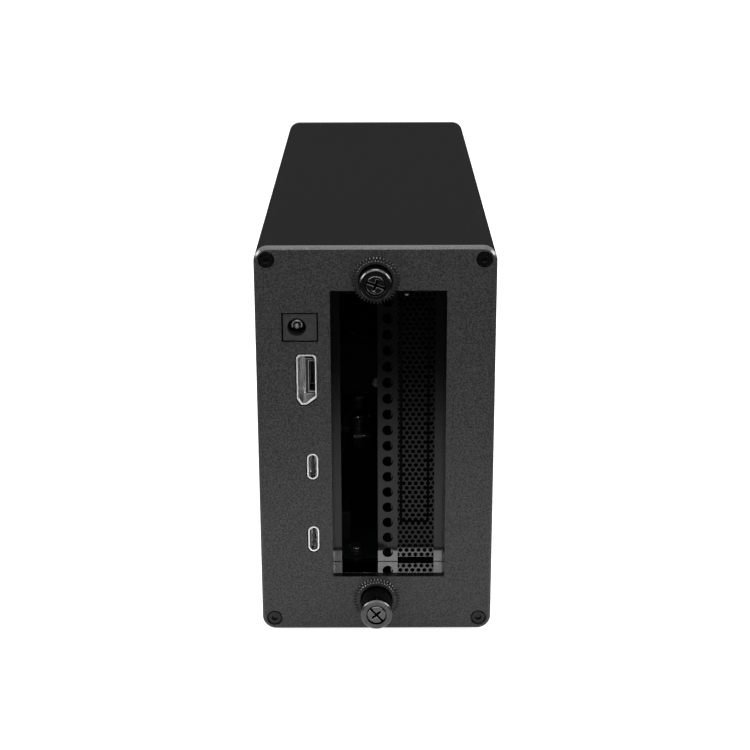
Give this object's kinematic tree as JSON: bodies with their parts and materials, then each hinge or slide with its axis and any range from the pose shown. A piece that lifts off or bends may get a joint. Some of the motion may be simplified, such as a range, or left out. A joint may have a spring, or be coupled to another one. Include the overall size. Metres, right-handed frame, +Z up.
{
  "type": "pcie expansion chassis",
  "caption": "Upright black metal expansion box for a plug-in card, with a recessed slot window, a vented slot cover, knurled thumbscrews, sockets and a fan.",
  "frame": {"origin": "middle of the footprint, on the plane that the rubber feet stand on; the footprint counts the lower thumbscrew, which rests slid out", "axes": "+Z up, -Y out of the port panel, +X to the right when facing the port panel"},
  "size_m": [0.084, 0.265, 0.147],
  "materials": {
    "sleeve_coat": "fine textured satin black",
    "panel_coat": "fine textured satin black",
    "frame_coat": "satin black over folded steel",
    "sill_gloss": "polished gloss black",
    "cover_coat": "satin dark grey",
    "screw_black": "black oxide, slightly glossy",
    "knob_black": "black anodised, turned and knurled",
    "thumb_steel": "dark plated steel",
    "zinc_steel": "bright zinc",
    "tray_steel": "galvanised sheet",
    "rubber": "matt",
    "board_black": "solder mask",
    "brass": "turned",
    "connector_black": "moulded",
    "latch_pale": "moulded",
    "capacitor": "bright can",
    "inductor": "pressed powder",
    "chip": "moulded",
    "heatsink": "extruded",
    "plated_shell": "bright plated shell",
    "jack_black": "moulded, slightly glossy",
    "fan_plastic": "moulded",
    "light_lens": "clear diffuser"
  },
  "bodies": {
    "chassis": {"housing_sleeve": "sleeve_coat", "port_panel": "panel_coat", "fan_panel": "panel_coat", "port_panel_screws": "screw_black", "fan_panel_screws": "screw_black", "rubber_feet": "rubber", "inner_tray": "tray_steel", "slot_frame": "frame_coat", "recess_sill": "sill_gloss", "vented_slot_cover": "cover_coat", "cover_screw": "zinc_steel", "upper_guide_ring": "knob_black", "lower_guide_ring": "knob_black", "main_board": "board_black", "board_standoffs": "brass", "board_screws": "zinc_steel", "riser_board": "board_black", "riser_standoffs": "brass", "riser_screws": "zinc_steel", "link_socket": "connector_black", "card_connector": "connector_black", "riser_capacitors": "capacitor", "power_inductors": "inductor", "controller_chip": "chip", "controller_heatsink": "heatsink", "power_jack": "jack_black", "jack_pin": "plated_shell", "video_socket_shell": "plated_shell", "video_socket_tongue": "connector_black", "data_socket_shells": "plated_shell", "data_socket_tongues": "connector_black", "fan_frame": "fan_plastic", "fan_screws": "screw_black", "power_light": "light_lens"},
    "upper_clip": {"upper_retaining_ring": "zinc_steel"},
    "upper_thumbscrew": {"upper_knob": "knob_black", "upper_screw": "thumb_steel"},
    "lower_clip": {"lower_retaining_ring": "zinc_steel"},
    "lower_thumbscrew": {"lower_knob": "knob_black", "lower_screw": "thumb_steel"},
    "card_latch": {"connector_latch": "latch_pale"},
    "fan_wheel": {"fan_rotor": "fan_plastic"}
  },
  "joints": [
    {"name": "upper_travel", "type": "slide", "parent": "chassis", "child": "upper_clip", "axis": [0, -1, 0], "range_m": [0, 0.006]},
    {"name": "upper_turn", "type": "hinge", "parent": "upper_clip", "child": "upper_thumbscrew", "pos_m": [0, -0.1195, 0.1353], "axis": [0, 1, 0], "continuous": true},
    {"name": "lower_travel", "type": "slide", "parent": "chassis", "child": "lower_clip", "axis": [0, 1, 0], "range_m": [0, 0.006]},
    {"name": "lower_turn", "type": "hinge", "parent": "lower_clip", "child": "lower_thumbscrew", "pos_m": [0, -0.1195, 0.014], "axis": [0, 1, 0], "continuous": true},
    {"name": "latch_swing", "type": "hinge", "parent": "chassis", "child": "card_latch", "pos_m": [-0.01401, 0.0187, 0.0225], "axis": [-1, 0, 0], "range_deg": [0, 30]},
    {"name": "fan_spin", "type": "hinge", "parent": "chassis", "child": "fan_wheel", "pos_m": [0, 0.1225, 0.0745], "axis": [0, 1, 0], "continuous": true}
  ]
}
